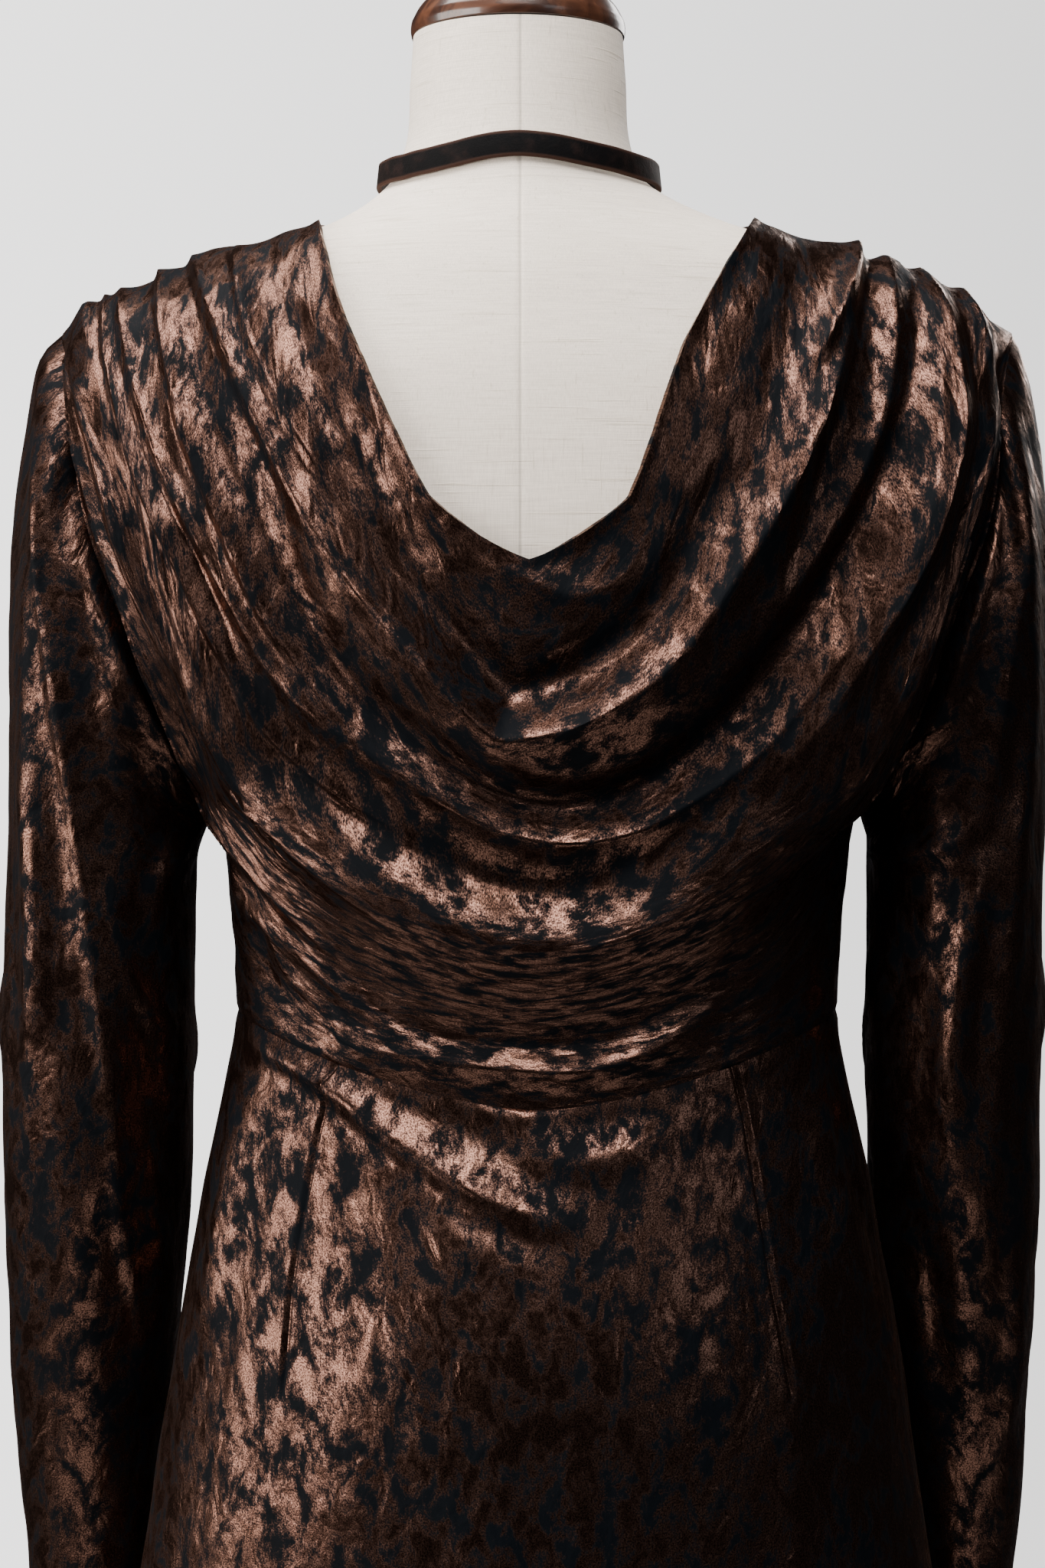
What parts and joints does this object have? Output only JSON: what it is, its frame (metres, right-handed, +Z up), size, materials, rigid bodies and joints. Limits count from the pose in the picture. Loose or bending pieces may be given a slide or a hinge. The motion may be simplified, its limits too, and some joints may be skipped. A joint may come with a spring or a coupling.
{
  "type": "draped velvet dress on a limbless dress form",
  "caption": "Long-sleeved dress with a cowl-draped back, a narrow neck strap and a flared skirt, worn by a limbless dress form on a pole and a round base.",
  "frame": {"origin": "centre of the box's base, on the floor under the stand's round base", "axes": "+Z up the pole; -Y is the draped back of the dress, +Y its front, +X the wearer's right"},
  "size_m": [0.497, 0.38, 1.511],
  "materials": {
    "velvet": "crushed velvet, brown, mottled sheen",
    "linen": "plain linen cover, matt",
    "wood": "dark stained, glossy",
    "steel": "satin",
    "paint": "satin, off-white"
  },
  "bodies": {
    "root": {"back_bodice": "velvet", "front_bodice": "velvet", "back_skirt": "velvet", "front_skirt": "velvet", "left_sleeve": "velvet", "right_sleeve": "velvet", "neckband": "velvet", "form_torso": "linen", "neck_cap": "wood", "stand_pole": "steel", "stand_hub": "paint", "stand_base": "paint"}
  },
  "joints": []
}
